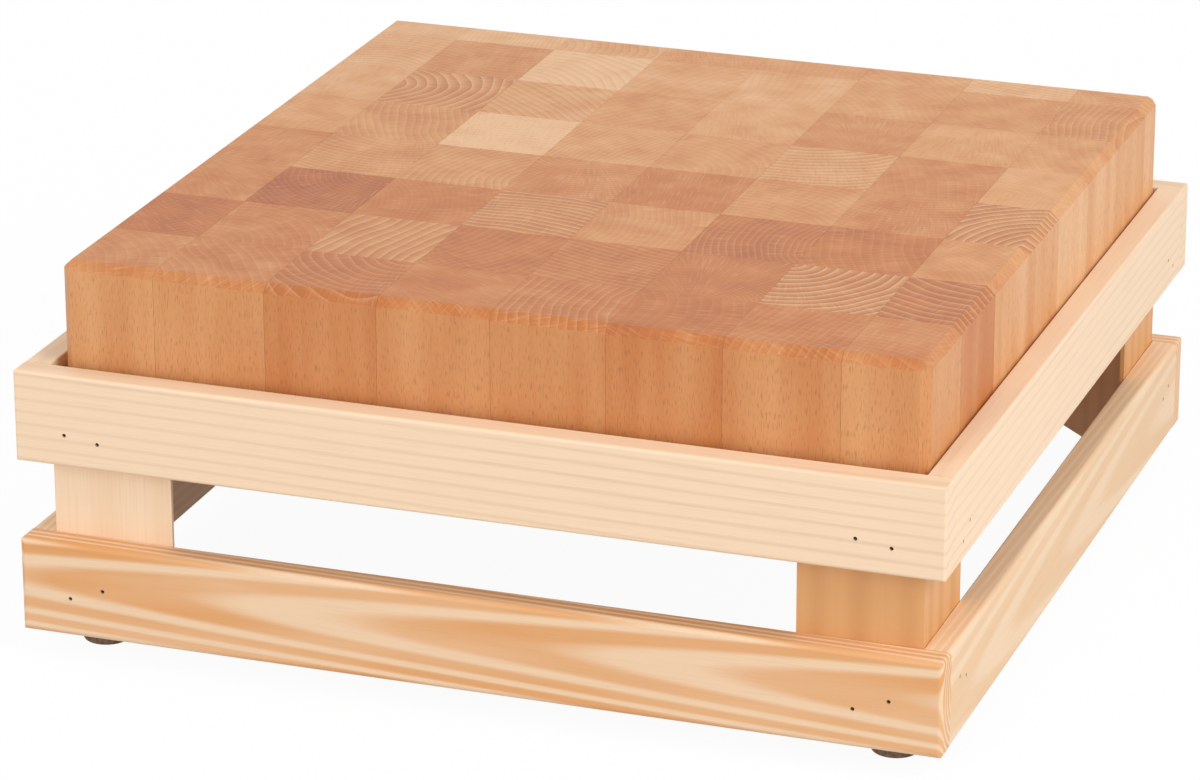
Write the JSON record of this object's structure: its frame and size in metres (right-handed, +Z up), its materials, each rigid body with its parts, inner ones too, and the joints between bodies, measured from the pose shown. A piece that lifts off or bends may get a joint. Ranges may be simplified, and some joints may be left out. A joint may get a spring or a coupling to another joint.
{
  "type": "chopping block on a stand",
  "caption": "Square end-grain beech chopping block that lifts out of a low slatted pine stand with corner posts and rubber feet.",
  "frame": {"origin": "centre of the stand's outline, on the plane that the feet stand on", "axes": "+Z up, +X to the stand's right side, +Y from its front to its back"},
  "size_m": [0.431, 0.431, 0.184],
  "materials": {
    "beech": "sanded, oiled end grain",
    "pine_upper": "planed, bare",
    "pine_lower": "planed, bare, flat-sawn",
    "pine_post": "planed, bare",
    "foot_rubber": "matte brown rubber",
    "steel": "zinc plated"
  },
  "bodies": {
    "stand": {"upper_front_rail": "pine_upper", "upper_right_rail": "pine_upper", "upper_back_rail": "pine_upper", "upper_left_rail": "pine_upper", "lower_front_rail": "pine_lower", "lower_right_rail": "pine_lower", "lower_back_rail": "pine_lower", "lower_left_rail": "pine_lower", "corner_post_front_left": "pine_post", "corner_post_front_right": "pine_post", "corner_post_back_right": "pine_post", "corner_post_back_left": "pine_post", "foot_front_left": "foot_rubber", "foot_front_right": "foot_rubber", "foot_back_right": "foot_rubber", "foot_back_left": "foot_rubber", "foot_screws": "steel", "foot_washers": "steel", "upper_rail_brads": "steel", "lower_rail_brads": "steel"},
    "block": {"stave_row_1": "beech", "stave_row_2": "beech", "stave_row_3": "beech", "stave_row_4": "beech", "stave_row_5": "beech", "stave_row_6": "beech", "stave_row_7": "beech", "stave_row_8": "beech"}
  },
  "joints": [
    {"name": "block_lift", "type": "slide", "parent": "stand", "child": "block", "axis": [0, 0, 1], "range_m": [0, 0.06]}
  ]
}
